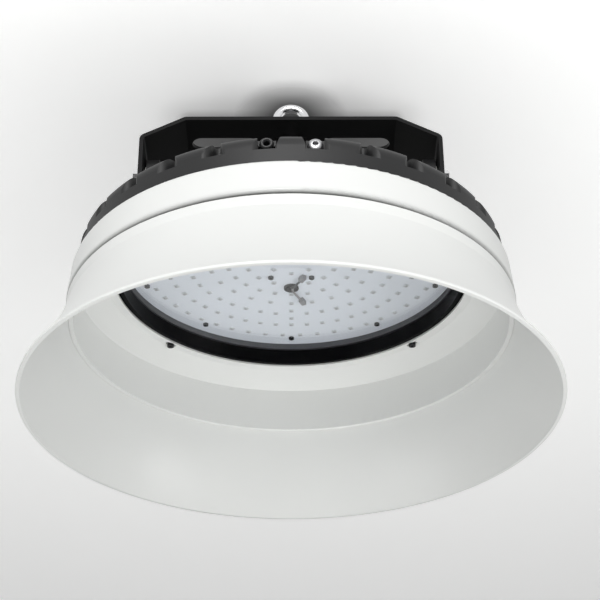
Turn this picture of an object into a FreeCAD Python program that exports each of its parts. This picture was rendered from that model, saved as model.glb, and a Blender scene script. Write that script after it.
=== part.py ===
"""High bay light: an aluminium reflector under a finned LED engine, hung from a tilting yoke.

Frame: millimetres, origin at the centre of the mouth's rim plane, +Z up towards the eye
bolt, +X along the yoke's tilt axis, -Y the side with the cable gland and the vent plug.
Every size is a cell of the sheet "Sizes"; a Measure carries a number with the expression
that gives it, so sketches, pads and patterns stay bound to the cells.
"""
import FreeCAD, Part
import math
import os

import Sketcher
from FreeCAD import Vector

SIZES = (
    ("rim_radius", 250.0, "outer radius of the mouth's rolled rim"),
    ("rim_width", 4.5, "radial width of the rolled rim"),
    ("rim_height", 3.0, "height of the rolled rim"),
    ("rim_round", 1.0, "rounding of the rolled rim"),
    ("rim_step", 2.0, "how far the rolled rim stands out over the flare"),
    ("flare_width", 38.6, "how far the flare runs out from the collar"),
    ("skirt_arc", 205.0, "radius of the skirt's flare in section"),
    ("neck_height", 82.5, "height of the crease between flare and collar"),
    ("collar_wall", 2.8, "thickness of the skirt's collar"),
    ("collar_height", 10.0, "length of the collar above the crease"),
    ("fit_gap", 0.3, "play between pieces that slip together"),
    ("spigot_wall", 4.3, "wall of the drum inside the collar"),
    ("groove_height", 2.4, "shadow groove between collar and band"),
    ("band_step", 3.2, "how far the band stands out over the spigot"),
    ("band_height", 28.9, "height of the band's straight side"),
    ("band_taper", 2.7, "how far the band leans in at its top"),
    ("band_round", 3.3, "rounding at the band's top edge"),
    ("flange_wall", 2.2, "thickness of the drum's top flange"),
    ("flange_low", 128.0, "height at which the flange leaves the drum's wall"),
    ("flange_rise", 11.5, "how far the flange climbs towards the centre"),
    ("flange_cone_width", 25.0, "width of the flange's slanted part"),
    ("flange_seat_width", 8.5, "width of the flat seat round the flange's hole"),
    ("slot_width", 4.6, "width of the flange's fixing slots"),
    ("slot_length", 12.0, "length of the flange's fixing slots"),
    ("bezel_hole_gap", 3.0, "gap between the bezel's lower ring and the flange's hole"),
    ("bezel_lower_wall", 3.5, "wall of the bezel's lower ring"),
    ("bezel_flange_width", 10.0, "width of the bezel's flange outside its upper ring"),
    ("bezel_flange_wall", 4.0, "thickness of the bezel's flange"),
    ("bezel_drop", 7.7, "from the bezel's flange down to its lower edge"),
    ("bezel_upper_wall", 3.2, "wall of the bezel's upper ring"),
    ("bezel_upper_height", 15.2, "bezel's upper ring above its flange"),
    ("bezel_clearance", 0.7, "room between the bezel's upper ring and the heat sink"),
    ("lug_radius", 4.4, "radius of the bezel's four threaded lugs"),
    ("bezel_screw_count", 12, "screws through the bezel's flange"),
    ("gasket_wall", 1.0, "thickness of the flat gaskets"),
    ("lens_wall", 4.0, "thickness of the clear lens"),
    ("lens_seat_height", 3.8, "lens seat above the bezel's flange"),
    ("lens_grip", 2.5, "how far the lens overlaps its seat"),
    ("board_inset", 0.5, "how far the LED board's edge lies inside the bezel's window"),
    ("board_wall", 1.6, "thickness of the LED board"),
    ("thermal_pad_wall", 0.5, "thickness of the thermal pad"),
    ("board_screw_count", 10, "screws at the board's edge"),
    ("board_screw_inset", 13.5, "screws at the board's edge, inside that edge"),
    ("inner_screw_x", 20.0, "inner board screws, sideways"),
    ("inner_screw_y", 31.0, "inner board screws, front to back"),
    ("led_side", 4.6, "side of an LED package"),
    ("led_height", 0.9, "height of an LED package"),
    ("led_ring_a", 0.147, "radius of the first ring of LEDs over the board's"),
    ("led_ring_b", 0.275, "radius of the second ring of LEDs over the board's"),
    ("led_ring_c", 0.385, "radius of the third ring of LEDs over the board's"),
    ("led_ring_d", 0.492, "radius of the fourth ring of LEDs over the board's"),
    ("led_ring_e", 0.618, "radius of the fifth ring of LEDs over the board's"),
    ("led_ring_f", 0.752, "radius of the sixth ring of LEDs over the board's"),
    ("led_ring_g", 0.881, "radius of the seventh ring of LEDs over the board's"),
    ("led_row_step", 14.5, "step of the short radial row of LEDs"),
    ("wire_hole_place", 0.845, "place of the hole for the leads over the housing's inner radius"),
    ("wire_hole_radius", 6.5, "radius of the hole for the leads"),
    ("grommet_bore", 4.0, "radius of the grommet's bore"),
    ("grommet_lip", 1.0, "how far the grommet's lips overlap the hole's edge"),
    ("grommet_lip_height", 1.4, "height of the grommet's lips"),
    ("lead_radius", 1.1, "radius of an insulated LED lead"),
    ("lead_end_gap", 0.7, "from the driver's side to the ends of the leads"),
    ("terminal_length", 8.0, "length of a board terminal"),
    ("terminal_width", 4.6, "width of a board terminal"),
    ("terminal_height", 4.6, "height of a board terminal"),
    ("sink_inset", 1.0, "how far the heat sink's side lies inside the drum's wall"),
    ("sink_rim_height", 15.0, "plain band under the lobes"),
    ("sink_shoulder", 16.0, "rounding from the heat sink's side to its top"),
    ("sink_side_height", 4.0, "straight side of a lobe under its rounding"),
    ("base_wall", 8.9, "thickness of the heat sink's base plate"),
    ("base_slope_width", 35.0, "from the heat sink's side in to its flat top"),
    ("lobe_count", 28, "lobes round the heat sink"),
    ("notch_half_width", 4.0, "half the width of the notch between lobes"),
    ("notch_depth", 18.0, "radial depth of a notch"),
    ("lobe_round", 9.0, "rounding of a lobe's corners in plan"),
    ("fin_count", 56, "fins on the base plate"),
    ("fin_wall", 2.6, "thickness of a fin"),
    ("fin_end_inset", 19.0, "from the heat sink's side in to the fins' ends"),
    ("fin_end_height", 170.0, "height of the fins at their outer end"),
    ("fin_rise", 58.0, "how far the fins climb towards the driver housing"),
    ("housing_share", 0.4037, "outside of the driver housing over the board's radius"),
    ("housing_wall", 6.0, "wall of the driver housing"),
    ("housing_height", 56.0, "driver housing above the base plate"),
    ("cover_wall", 4.0, "thickness of the driver housing's cover"),
    ("cover_screw_count", 6, "screws in the cover"),
    ("driver_length_share", 1.4, "length of the potted driver over the housing's inner radius"),
    ("driver_width_share", 1.0, "width of the potted driver over the housing's inner radius"),
    ("driver_height", 36.0, "height of the potted driver"),
    ("driver_tab", 10.0, "length of the driver's fixing tabs"),
    ("driver_tab_wall", 3.0, "thickness of the driver's fixing tabs"),
    ("fitting_x", 21.0, "gland and vent plug, sideways from the middle"),
    ("fitting_z", 155.0, "height of the gland's and the plug's axes"),
    ("fitting_pocket_half", 8.2, "half the width of their pockets"),
    ("fitting_pocket_depth", 17.0, "depth of the pockets of gland and vent plug"),
    ("middle_lobe_height", 16.0, "height of the lobe between the pockets over their floor"),
    ("middle_lobe_bevel", 3.2, "bevel along the top of that lobe"),
    ("middle_lobe_lean", 4.0, "how far that lobe's sides lean in at its top"),
    ("fitting_thread_radius", 4.6, "radius of their threads"),
    ("fitting_thread_length", 4.8, "length of their threads"),
    ("gland_flats", 13.0, "size of the gland's hexagons across flats"),
    ("gland_body_length", 3.5, "length of the gland's hexagon"),
    ("gland_neck_radius", 4.9, "radius of the gland's threaded neck"),
    ("gland_neck_length", 3.6, "length of the gland's threaded neck"),
    ("gland_nut_length", 8.6, "length of the gland's dome nut"),
    ("cable_radius", 3.0, "bore of the gland's rubber seal"),
    ("plug_radius", 7.1, "radius of the vent plug's cap"),
    ("plug_length", 11.0, "length of the vent plug's cap"),
    ("plug_round", 4.5, "rounding of the vent plug's cap"),
    ("passage_radius", 3.0, "radius of the wiring passage"),
    ("ear_inset", 59.8, "from the heat sink's side in to the ears' outer faces"),
    ("ear_wall", 12.2, "thickness of the ears"),
    ("ear_radius", 18.0, "half the width of the ears, and their round tops"),
    ("pivot_z", 260.0, "height of the tilt axis"),
    ("pivot_thread_radius", 4.0, "radius of the tilt bolts' tapped holes"),
    ("screw_play", 0.1, "radial play of a screw in its tapped hole"),
    ("hole_play", 0.4, "radial play of a screw in a plain hole"),
    ("turning_gap", 0.2, "side play on each face of the yoke's legs"),
    ("friction_washer_wall", 1.6, "thickness of the friction washers"),
    ("friction_washer_radius", 11.0, "radius of the friction washers"),
    ("washer_wall", 1.2, "thickness of the plain washers on the tilt bolts"),
    ("spring_washer_wall", 1.6, "thickness of the spring washers"),
    ("washer_radius", 8.0, "radius of the plain washers on the tilt bolts"),
    ("bolt_head_flats", 13.0, "tilt bolt's head across flats"),
    ("bolt_head_height", 5.3, "height of the tilt bolt's head"),
    ("strip_wall", 4.0, "thickness of the yoke's strip"),
    ("strip_width", 80.0, "width of the yoke's strip"),
    ("yoke_top", 306.0, "height of the yoke's top face"),
    ("shoulder_run", 44.0, "how far the yoke's shoulders run in from the legs"),
    ("shoulder_drop", 23.0, "how far the yoke's shoulders fall"),
    ("leg_below_pivot", 28.0, "yoke's leg below the tilt axis"),
    ("leg_corner", 8.0, "rounding of the legs' lower corners"),
    ("bend_round", 3.0, "inside radius of the yoke's bends"),
    ("yoke_slot_width", 20.0, "width of the yoke's fixing slots"),
    ("yoke_slot_start", 32.5, "inner end of a fixing slot from the middle"),
    ("yoke_slot_margin", 5.5, "flat left outside a fixing slot"),
    ("eye_thread_radius", 5.0, "radius of the eye bolt's thread"),
    ("eye_ring_radius", 14.3, "radius to the middle of the eye's bar"),
    ("eye_bar_radius", 4.2, "radius of the eye's bar"),
    ("eye_bore_radius", 10.6, "land inside the eye"),
    ("eye_height", 26.5, "centre of the eye above the yoke"),
    ("eye_collar_radius", 10.0, "radius of the collar that the eye bolt stands on"),
    ("eye_collar_height", 10.0, "height of the eye bolt's collar"),
    ("eye_shank_below", 17.0, "eye bolt's shank below the yoke's top face"),
    ("eye_nut_flats", 17.0, "eye bolt's nut across flats"),
    ("eye_nut_height", 8.0, "height of the eye bolt's nut"),
    ("eye_washer_radius", 10.5, "radius of the eye bolt's washer"),
    ("eye_washer_wall", 2.0, "thickness of the eye bolt's washer"),
)

doc = FreeCAD.newDocument("high_bay_light")
sheet = doc.addObject("Spreadsheet::Sheet", "Sizes")
NODES = []


class Measure:
    """A number together with the sheet expression that gives it."""

    def __init__(self, value, text=None):
        self.value = float(value)
        self.text = text if text else f"({self.value})"

    def joined(self, other, sign, value):
        return Measure(value, f"({self.text} {sign} {measure(other).text})")

    def __add__(self, other):
        return self.joined(other, "+", self.value + measure(other).value)

    def __sub__(self, other):
        return self.joined(other, "-", self.value - measure(other).value)

    def __mul__(self, other):
        return self.joined(other, "*", self.value * measure(other).value)

    def __truediv__(self, other):
        return self.joined(other, "/", self.value / measure(other).value)

    def __radd__(self, other):
        return measure(other) + self

    def __rsub__(self, other):
        return measure(other) - self

    def __rmul__(self, other):
        return measure(other) * self

    def __rtruediv__(self, other):
        return measure(other) / self

    def __neg__(self):
        return measure(0) - self


def measure(number):
    return number if isinstance(number, Measure) else Measure(number)


def cosine(degrees):
    degrees = measure(degrees)
    return Measure(math.cos(math.radians(degrees.value)), f"cos({degrees.text} * 1deg)")


def sine(degrees):
    degrees = measure(degrees)
    return Measure(math.sin(math.radians(degrees.value)), f"sin({degrees.text} * 1deg)")


def tangent(degrees):
    return sine(degrees) / cosine(degrees)


def write_sheet():
    """Fill the sheet: alias, value and meaning in columns A, B and C."""
    for row, (alias, value, meaning) in enumerate(SIZES, start=1):
        sheet.set(f"A{row}", alias)
        sheet.set(f"B{row}", str(value))
        sheet.set(f"C{row}", meaning)
        sheet.setAlias(f"B{row}", alias)
    doc.recompute()
    return {alias: Measure(value, f"Sizes.{alias}") for alias, value, meaning in SIZES}


class Named:
    """The sheet's sizes as attributes."""

    def __init__(self, sizes):
        self.__dict__.update(sizes)


s = Named(write_sheet())


# ------------------------------------------------------------------ building blocks


def new_body(name):
    """A PartDesign body that becomes a node of its own."""
    body = doc.addObject("PartDesign::Body", name + "_body")
    body.Label = name
    NODES.append(body)
    return body


def sketch_on(body, name, plane, start=0):
    """An empty sketch on one of the body's own origin planes, moved along its normal."""
    sketch = body.newObject("Sketcher::SketchObject", name)
    support = [part for part in body.Origin.OriginFeatures if part.Role == plane][0]
    sketch.AttachmentSupport = [(support, "")]
    sketch.MapMode = "FlatFace"
    sketch.setExpression("AttachmentOffset.Base.z", measure(start).text)
    return sketch


def pin_axis(rules, bound, geometry, end, place, level):
    """A constraint that holds a point's height (level) or its distance sideways."""
    if place.text == "(0.0)":
        axis = -1 if level else -2
        rules.append(Sketcher.Constraint("PointOnObject", geometry, end, axis))
        return
    kind = "DistanceY" if level else "DistanceX"
    bound.append((len(rules), place.text))
    rules.append(Sketcher.Constraint(kind, -1, 1, geometry, end, place.value))


def pin_point(rules, bound, geometry, end, x, y):
    """Constraints that hold one point of a sketch line at x, y."""
    pin_axis(rules, bound, geometry, end, x, False)
    pin_axis(rules, bound, geometry, end, y, True)


def arc_between(first, last, radius, left):
    """The short arc from first to last, its centre on the left or right of the way."""
    way = last - first
    across = Vector(-way.y, way.x, 0) * (1 if left else -1)
    across.normalize()
    reach = math.sqrt(max(radius * radius - way.Length**2 / 4, 0))
    centre = (first + last) * 0.5 + across * reach
    ends = (first, last) if left else (last, first)
    angles = [math.atan2((end - centre).y, (end - centre).x) for end in ends]
    circle = Part.Circle(centre, Vector(0, 0, 1), radius)
    return Part.ArcOfCircle(circle, angles[0], angles[1])


def outline(body, name, plane, corners, start=0, closed=True):
    """A sketch through corners (x, y); (x, y, radius, side) is reached by an arc.

    A radius of None stands for a half circle; an open sketch has no way back to its start.
    """
    sketch = sketch_on(body, name, plane, start)
    places = [(measure(corner[0]), measure(corner[1])) for corner in corners]
    ends = []
    rules = []
    bound = []
    for index, corner in enumerate(corners):
        if index == 0 and not closed:
            continue
        first = Vector(places[index - 1][0].value, places[index - 1][1].value, 0)
        last = Vector(places[index][0].value, places[index][1].value, 0)
        if len(corner) == 2:
            sketch.addGeometry(Part.LineSegment(first, last), False)
            ends.append((1, 2))
            continue
        left = corner[3] == "left"
        ends.append((1, 2) if left else (2, 1))
        if corner[2] is None:
            half = (last - first).Length / 2
            number = sketch.addGeometry(arc_between(first, last, half, left), False)
            middle = [(a + b) / 2 for a, b in zip(places[index - 1], places[index])]
            level = abs(last.x - first.x) > abs(last.y - first.y)
            pin_axis(rules, bound, number, 3, middle[1] if level else middle[0], level)
            continue
        radius = measure(corner[2])
        number = sketch.addGeometry(arc_between(first, last, radius.value, left), False)
        bound.append((len(rules), radius.text))
        rules.append(Sketcher.Constraint("Radius", number, radius.value))
    if not closed:
        pin_point(rules, bound, 0, ends[0][0], *places[0])
        places = places[1:]
    for index, (begin, end) in enumerate(ends):
        after = (index + 1) % len(ends)
        if closed or after:
            rules.append(Sketcher.Constraint("Coincident", index, end, after, ends[after][0]))
        pin_point(rules, bound, index, end, *places[index])
    sketch.addConstraint(rules)
    for number, text in bound:
        sketch.setExpression(f"Constraints[{number}]", text)
    return sketch


def circle_sketch(body, name, plane, x, y, radius, start=0):
    """A sketch of one circle."""
    x, y, radius = measure(x), measure(y), measure(radius)
    sketch = sketch_on(body, name, plane, start)
    circle = Part.Circle(Vector(x.value, y.value, 0), Vector(0, 0, 1), radius.value)
    sketch.addGeometry(circle, False)
    bound = [(0, radius.text)]
    rules = [Sketcher.Constraint("Radius", 0, radius.value)]
    pin_point(rules, bound, 0, 3, x, y)
    sketch.addConstraint(rules)
    for number, text in bound:
        sketch.setExpression(f"Constraints[{number}]", text)
    return sketch


def revolved(body, name, corners):
    """Solid of revolution about Z from an outline in the XZ plane."""
    sketch = outline(body, name + "_sketch", "XZ_Plane", corners)
    solid = body.newObject("PartDesign::Revolution", name)
    solid.Profile = sketch
    solid.ReferenceAxis = (sketch, ["V_Axis"])
    solid.Angle = 360
    sketch.Visibility = False
    return solid


def padded(body, name, sketch, length, both_ways=False):
    """Material along the sketch's normal."""
    solid = body.newObject("PartDesign::Pad", name)
    solid.Profile = sketch
    if both_ways:
        solid.SideType = "Symmetric"
    solid.setExpression("Length", measure(length).text)
    return solid


def cut(body, name, sketch, length, both_ways=False):
    """A pocket of the given depth behind the sketch, or to both sides of it."""
    pocket = body.newObject("PartDesign::Pocket", name)
    pocket.Profile = sketch
    if both_ways:
        pocket.SideType = "Symmetric"
    pocket.setExpression("Length", measure(length).text)
    return pocket


def disc(body, name, plane, x, y, radius, start, length):
    """A round boss from start, length long, along the plane's normal."""
    return padded(body, name, circle_sketch(body, name + "_sketch", plane, x, y, radius, start), length)


def drilled(body, name, plane, x, y, radius, start, depth):
    """A round hole from start back against the plane's normal."""
    return cut(body, name, circle_sketch(body, name + "_sketch", plane, x, y, radius, start), depth)


def repeated(body, name, features, count, angle=360):
    """The features repeated round Z."""
    pattern = body.newObject("PartDesign::PolarPattern", name)
    pattern.Originals = features
    axis = [part for part in body.Origin.OriginFeatures if part.Role == "Z_Axis"][0]
    pattern.Axis = (axis, [""])
    pattern.setExpression("Angle", measure(angle).text)
    pattern.setExpression("Occurrences", measure(count).text)
    body.Tip = pattern
    return pattern


def mirrored(body, name, features, plane="YZ_Plane"):
    """The features again on the other side of a plane."""
    twin = body.newObject("PartDesign::Mirrored", name)
    twin.Originals = features
    mirror = [part for part in body.Origin.OriginFeatures if part.Role == plane][0]
    twin.MirrorPlane = (mirror, [""])
    body.Tip = twin
    return twin


def rounded(body, name, radius, chosen):
    """Fillets on the edges of the body's tip that chosen picks."""
    doc.recompute()
    base = body.Tip
    names = [f"Edge{number}" for number, edge in enumerate(base.Shape.Edges, start=1) if chosen(edge)]
    fillet = body.newObject("PartDesign::Fillet", name)
    fillet.Base = (base, names)
    fillet.setExpression("Radius", measure(radius).text)
    body.Tip = fillet
    return fillet


def near(number, size, slack=0.01):
    return abs(number - measure(size).value) < slack


def turned(corners, degrees):
    """Corners turned about the origin, their arcs kept."""
    cos, sin = cosine(degrees), sine(degrees)
    moved = []
    for corner in corners:
        x, y = measure(corner[0]), measure(corner[1])
        moved.append((x * cos - y * sin, x * sin + y * cos) + tuple(corner[2:]))
    return moved


def rectangle(x, y, length, width):
    """Corners of a rectangle about x, y."""
    half_x, half_y = length / 2, width / 2
    return [
        (x - half_x, y - half_y),
        (x + half_x, y - half_y),
        (x + half_x, y + half_y),
        (x - half_x, y + half_y),
    ]


def hexagon(x, y, flats):
    """Corners of a hexagon about x, y with two flats level."""
    reach = flats / math.sqrt(3)
    return [(x + reach * cosine(60 * k), y + reach * sine(60 * k)) for k in range(6)]


def slot(x, y, length, width):
    """Corners of a slot about x, y, its length along the sketch's x."""
    straight, half = (length - width) / 2, width / 2
    return [
        (x + straight, y - half),
        (x + straight, y + half, None, "left"),
        (x - straight, y + half),
        (x - straight, y - half, None, "left"),
    ]


def ring(name, inner, outer, low, high):
    """A plain ring about Z as a node of its own."""
    body = new_body(name)
    revolved(body, name + "_ring", [(inner, low), (outer, low), (outer, high), (inner, high)])
    return body


# ------------------------------------------------------------------ shared levels

collar_outer = s.rim_radius - s.flare_width
collar_inner = collar_outer - s.collar_wall
collar_top = s.neck_height + s.collar_height
spigot_outer = collar_inner - s.fit_gap
drum_inner = spigot_outer - s.spigot_wall
flange_seat_radius = drum_inner - s.flange_cone_width
flange_hole = flange_seat_radius - s.flange_seat_width
bezel_lower_outer = flange_hole - s.bezel_hole_gap
bezel_inner = bezel_lower_outer - s.bezel_lower_wall
band_outer = spigot_outer + s.band_step
band_low = collar_top + s.groove_height + s.band_step
band_high = band_low + s.band_height
flange_seat = s.flange_low + s.flange_rise
flange_top = flange_seat + s.flange_wall
cone_slope = s.flange_rise / s.flange_cone_width
bezel_low = flange_seat
bezel_flange_low = bezel_low + s.bezel_drop
bezel_flange_top = bezel_flange_low + s.bezel_flange_wall
bezel_top = bezel_flange_top + s.bezel_upper_height
lens_radius = bezel_inner + s.lens_grip
lens_recess = lens_radius + s.fit_gap
bezel_upper_outer = lens_recess + s.bezel_upper_wall
bezel_flange_outer = bezel_upper_outer + s.bezel_flange_width
fixing_radius = (bezel_upper_outer + bezel_flange_outer) / 2
board_radius = bezel_inner - s.board_inset
board_screw_radius = board_radius - s.board_screw_inset
housing_radius = board_radius * s.housing_share
housing_inner = housing_radius - s.housing_wall
housing_screw_radius = housing_radius - s.housing_wall / 2
driver_length = housing_inner * s.driver_length_share
driver_width = housing_inner * s.driver_width_share
wire_hole_y = housing_inner * s.wire_hole_place
lens_low = bezel_flange_top + s.lens_seat_height
lens_top = lens_low + s.lens_wall
sink_seat = bezel_flange_top + s.gasket_wall
sink_bore = bezel_upper_outer + s.fit_gap
sink_recess = bezel_flange_outer + s.fit_gap
sink_radius = drum_inner - s.sink_inset
base_top_radius = sink_radius - s.base_slope_width
fin_end_radius = sink_radius - s.fin_end_inset
fitting_face = sink_radius - s.fitting_pocket_depth
ear_face = sink_radius - s.ear_inset
base_low = bezel_top + s.bezel_clearance
base_top = base_low + s.base_wall
pad_low = base_low - s.thermal_pad_wall
board_low = pad_low - s.board_wall
screw_3 = Measure(1.5)
screw_4 = Measure(2.0)
housing_top = base_top + s.housing_height
cover_low = housing_top + s.gasket_wall
cover_top = cover_low + s.cover_wall
passage_z = (base_low + base_top) / 2
passage_y = fitting_face - 9
passage_end = housing_inner - 10
leg_inner = ear_face + s.friction_washer_wall + s.turning_gap
leg_outer = leg_inner + s.strip_wall
yoke_flat_half = leg_outer - s.shoulder_run
yoke_slot_end = yoke_flat_half - s.yoke_slot_margin
yoke_slot_x = (s.yoke_slot_start + yoke_slot_end) / 2
yoke_slot_length = yoke_slot_end - s.yoke_slot_start
pivot_washer_x = leg_outer + s.turning_gap
pivot_head_x = pivot_washer_x + s.washer_wall + s.spring_washer_wall
yoke_under = s.yoke_top - s.strip_wall


def at_angle(radius, degrees):
    """A place on a pitch circle."""
    return radius * cosine(degrees), radius * sine(degrees)


# ------------------------------------------------------------------ reflector


def build_skirt():
    """Flared skirt with a rolled rim and a collar, one spinning."""
    rim_inner = s.rim_radius - s.rim_width
    body = new_body("lower_reflector")
    revolved(body, "skirt", [
        (rim_inner, s.rim_round, s.skirt_arc + s.collar_wall, "left"),
        (rim_inner + s.rim_round, 0, s.rim_round, "left"),
        (s.rim_radius - s.rim_round, 0),
        (s.rim_radius, s.rim_round, s.rim_round, "left"),
        (s.rim_radius, s.rim_height - s.rim_round),
        (s.rim_radius - s.rim_round, s.rim_height, s.rim_round, "left"),
        (s.rim_radius - s.rim_step, s.rim_height),
        (collar_outer, s.neck_height, s.skirt_arc, "right"),
        (collar_outer, collar_top),
        (collar_inner, collar_top),
        (collar_inner, s.neck_height),
    ])


def build_drum():
    """Drum with the outer band, the spigot inside the collar and the top flange."""
    body = new_body("upper_reflector")
    band_top_radius = band_outer - s.band_taper
    top_radius = band_top_radius - s.band_round
    cone_top = flange_top - cone_slope * (top_radius - flange_seat_radius)
    revolved(body, "drum", [
        (drum_inner, s.neck_height),
        (spigot_outer, s.neck_height),
        (spigot_outer, band_low - s.band_step),
        (band_outer, band_low, s.band_step, "left"),
        (band_top_radius, band_high),
        (top_radius, cone_top, s.band_round, "left"),
        (flange_seat_radius, flange_top),
        (flange_hole, flange_top),
        (flange_hole, flange_seat),
        (flange_seat_radius, flange_seat),
        (drum_inner, s.flange_low),
    ])
    corners = turned(slot(0, -fixing_radius, s.slot_length, s.slot_width), 135)
    sketch = outline(body, "fixing_slot_sketch", "XY_Plane", corners, flange_top + 1)
    first = cut(body, "fixing_slot", sketch, s.flange_wall + 2)
    repeated(body, "fixing_slots", [first], 4)


def screws(name, places, count, head_radius, head_height, shank, length, seat, head_up=False):
    """Socket screws standing along Z at each place, each place repeated count times."""
    body = new_body(name)
    head_start = seat if head_up else seat - head_height
    shank_start = seat - length if head_up else seat
    socket_start = seat + head_height if head_up else seat - head_height * 0.4
    for number, (x, y) in enumerate(places, start=1):
        tag = f"_{number}"
        socket = outline(
            body, "socket_sketch" + tag, "XY_Plane", hexagon(x, y, head_radius * 0.8), socket_start
        )
        parts = [
            disc(body, "head" + tag, "XY_Plane", x, y, head_radius, head_start, head_height),
            disc(body, "shank" + tag, "XY_Plane", x, y, shank, shank_start, length),
            cut(body, "socket" + tag, socket, head_height * 0.6),
        ]
        if count != 1:
            repeated(body, "all" + tag, parts, count)


def build_reflector_screws():
    """The four screws that hold the reflector to the bezel's lugs."""
    place = at_angle(fixing_radius, 45)
    shank = screw_4 - s.screw_play
    screws("reflector_screws", [place], 4, screw_4 * 1.75, screw_4 * 1.3, shank, 10, flange_seat)


# ------------------------------------------------------------------ bezel, lens and board


def build_bezel():
    """Ring that holds the lens and carries the reflector on four lugs."""
    body = new_body("bezel_ring")
    revolved(body, "bezel", [
        (bezel_inner, bezel_low),
        (bezel_lower_outer, bezel_low),
        (bezel_lower_outer, bezel_flange_low),
        (bezel_flange_outer, bezel_flange_low),
        (bezel_flange_outer, bezel_flange_top),
        (bezel_upper_outer, bezel_flange_top),
        (bezel_upper_outer, bezel_top),
        (lens_recess, bezel_top),
        (lens_recess, lens_low),
        (bezel_inner, lens_low),
    ])
    x, y = at_angle(fixing_radius, 45)
    lug = disc(body, "lug", "XY_Plane", x, y, s.lug_radius, flange_top, bezel_flange_low - flange_top)
    tapped = drilled(body, "lug_thread", "XY_Plane", x, y, screw_4, bezel_flange_top - 1, 9)
    repeated(body, "lugs", [lug, tapped], 4)
    hole = drilled(
        body, "screw_hole", "XY_Plane", 0, fixing_radius, screw_4 + s.hole_play,
        bezel_flange_top + 1, s.bezel_flange_wall + 2,
    )
    repeated(body, "screw_holes", [hole], s.bezel_screw_count)

    gasket = ring(
        "bezel_gasket", sink_bore, bezel_flange_outer, bezel_flange_top, sink_seat
    )
    hole = drilled(
        gasket, "gasket_hole", "XY_Plane", 0, fixing_radius, screw_4 + s.hole_play,
        sink_seat + 1, s.gasket_wall + 2,
    )
    repeated(gasket, "gasket_holes", [hole], s.bezel_screw_count)

    screws(
        "bezel_screws", [(measure(0), fixing_radius)], s.bezel_screw_count, screw_4 * 1.75,
        screw_4 * 1.3, screw_4 - s.screw_play, 12, bezel_flange_low,
    )


def build_lens():
    """Clear disc in the bezel and the silicone ring that presses on it."""
    body = new_body("lens")
    disc(body, "lens_disc", "XY_Plane", 0, 0, lens_radius, lens_low, s.lens_wall)
    ring("lens_gasket", board_radius + s.fit_gap, lens_radius, lens_top, base_low)


def board_places():
    """Places of the screws that hold the LED board."""
    rim = (measure(0), -board_screw_radius)
    inner = [(s.inner_screw_x * i, s.inner_screw_y * k) for i in (-1, 1) for k in (-1, 1)]
    return rim, inner


def drill_board_screws(body, radius, start, depth):
    """The board screws' holes in a body."""
    rim, inner = board_places()
    first = drilled(body, "rim_hole", "XY_Plane", *rim, radius, start, depth)
    repeated(body, "rim_holes", [first], s.board_screw_count)
    for number, place in enumerate(inner, start=1):
        drilled(body, f"inner_hole_{number}", "XY_Plane", *place, radius, start, depth)


def build_board():
    """LED board and the thermal pad above it, both pierced for the screws and the leads."""
    board = new_body("led_board")
    disc(board, "board_disc", "XY_Plane", 0, 0, board_radius, board_low, s.board_wall)
    pad = new_body("thermal_pad")
    disc(pad, "pad_disc", "XY_Plane", 0, 0, board_radius - 1.5, pad_low, s.thermal_pad_wall)
    for body in (board, pad):
        drilled(
            body, "wire_hole", "XY_Plane", 0, wire_hole_y, s.wire_hole_radius, base_low + 1, 4
        )
        drill_board_screws(body, screw_3 + s.hole_play, base_low + 1, 4)
    rim, inner = board_places()
    body = new_body("board_screws")
    shank = screw_3 - s.screw_play
    for number, place in enumerate([rim] + inner):
        tag = f"_{number}"
        head = disc(body, "head" + tag, "XY_Plane", *place, screw_3 * 1.8, board_low - 2, 2)
        stem = disc(body, "shank" + tag, "XY_Plane", *place, shank, board_low, 7)
        corners = hexagon(*place, screw_3 * 1.4)
        sketch = outline(body, "socket_sketch" + tag, "XY_Plane", corners, board_low - 0.8)
        socket = cut(body, "socket" + tag, sketch, 1.2)
        if number == 0:
            repeated(body, "rim_screws", [head, stem, socket], s.board_screw_count)


def build_leds():
    """LED packages in seven rings and a short radial row."""
    body = new_body("led_packages")
    low = board_low - s.led_height
    rings = (
        (board_radius * s.led_ring_a, 8, 0, 360),
        (board_radius * s.led_ring_b, 15, 112.5, 315),
        (board_radius * s.led_ring_c, 24, 0, 360),
        (board_radius * s.led_ring_d, 24, 0, 360),
        (board_radius * s.led_ring_e, 39, 99, 342),
        (board_radius * s.led_ring_f, 48, 0, 360),
        (board_radius * s.led_ring_g, 50, 0, 360),
    )
    for number, (radius, count, first, reach) in enumerate(rings):
        corners = turned(rectangle(radius, measure(0), s.led_side, s.led_side), first)
        sketch = outline(body, f"led_sketch_{number}", "XY_Plane", corners, low)
        package = padded(body, f"led_{number}", sketch, s.led_height)
        repeated(body, f"led_ring_{number}", [package], count, reach)
    for number, side in enumerate((-0.4, 0.6)):
        y = board_radius * s.led_ring_e + s.led_row_step * side
        corners = rectangle(measure(0), y, s.led_side, s.led_side)
        sketch = outline(body, f"row_sketch_{number}", "XY_Plane", corners, low)
        padded(body, f"row_led_{number}", sketch, s.led_height)


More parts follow.
